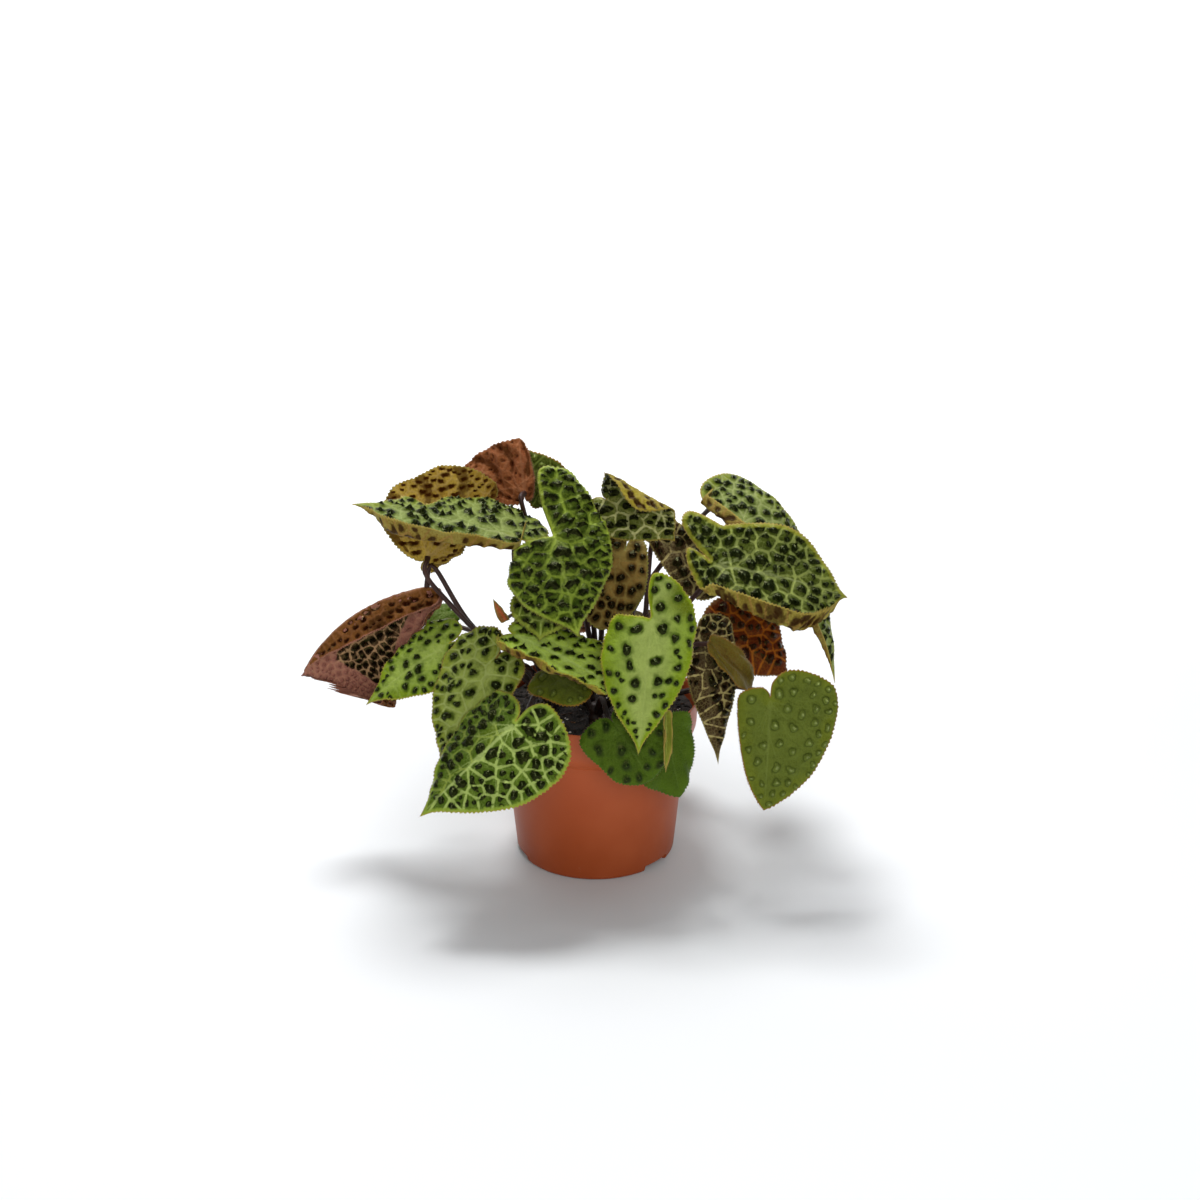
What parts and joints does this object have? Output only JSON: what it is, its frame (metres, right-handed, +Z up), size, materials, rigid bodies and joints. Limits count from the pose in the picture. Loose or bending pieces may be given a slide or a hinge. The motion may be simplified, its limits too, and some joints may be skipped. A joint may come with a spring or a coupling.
{
  "type": "potted begonia ferox",
  "caption": "Begonia with heart-shaped leaves studded with dark pointed bumps, on red stalks, in soil in a tapering plastic nursery pot with a tall band under its rim.",
  "frame": {"origin": "centre of the pot's base, on the surface it stands on", "axes": "+Z up through the middle of the pot, -Y towards the front of the plant"},
  "size_m": [0.3084, 0.2077, 0.2411],
  "materials": {
    "pot_plastic": "satin terracotta",
    "soil": "rough and crumbly",
    "stalk": "dull and slightly hairy",
    "leaf_bright": "satin yellow-green",
    "leaf_pale": "satin grey-green",
    "leaf_green": "satin green",
    "leaf_olive": "satin olive",
    "leaf_dark": "satin dark green",
    "leaf_rust": "satin rust",
    "leaf_brown": "satin brown",
    "leaf_maroon": "satin maroon",
    "leaf_tan": "dull tan underside",
    "leaf_pink": "dull pink-brown underside",
    "leaf_young": "satin yellow-green"
  },
  "bodies": {
    "root": {"pot": "pot_plastic", "soil": "soil", "stems": "stalk", "leaf_front_left": "leaf_bright", "leaf_left_low": "leaf_pale", "leaf_left_bright": "leaf_bright", "leaf_left_plain": "leaf_dark", "leaf_left_long": "leaf_pale", "leaf_left_upright": "leaf_tan", "leaf_top_pink": "leaf_pink", "leaf_top_small": "leaf_olive", "leaf_centre_large": "leaf_green", "leaf_centre_under": "leaf_green", "leaf_centre_brown": "leaf_brown", "leaf_front_cupped": "leaf_bright", "leaf_front_right": "leaf_bright", "leaf_rim_round": "leaf_dark", "leaf_rim_wavy": "leaf_dark", "leaf_right_narrow": "leaf_maroon", "leaf_right_rust": "leaf_rust", "leaf_right_plain": "leaf_olive", "leaf_right_round": "leaf_olive", "leaf_right_cupped": "leaf_pale", "leaf_top_yellow": "leaf_tan", "leaf_right_drip": "leaf_pale", "leaf_right_maroon": "leaf_maroon", "leaf_front_olive": "leaf_olive", "leaf_left_hanging": "leaf_pink", "leaf_young_rolled": "leaf_young", "leaf_young_red": "leaf_pink", "leaf_back_left": "leaf_green", "leaf_back_centre": "leaf_pale", "leaf_back_right": "leaf_bright", "leaf_back_low_left": "leaf_rust", "leaf_back_low_right": "leaf_olive"}
  },
  "joints": []
}
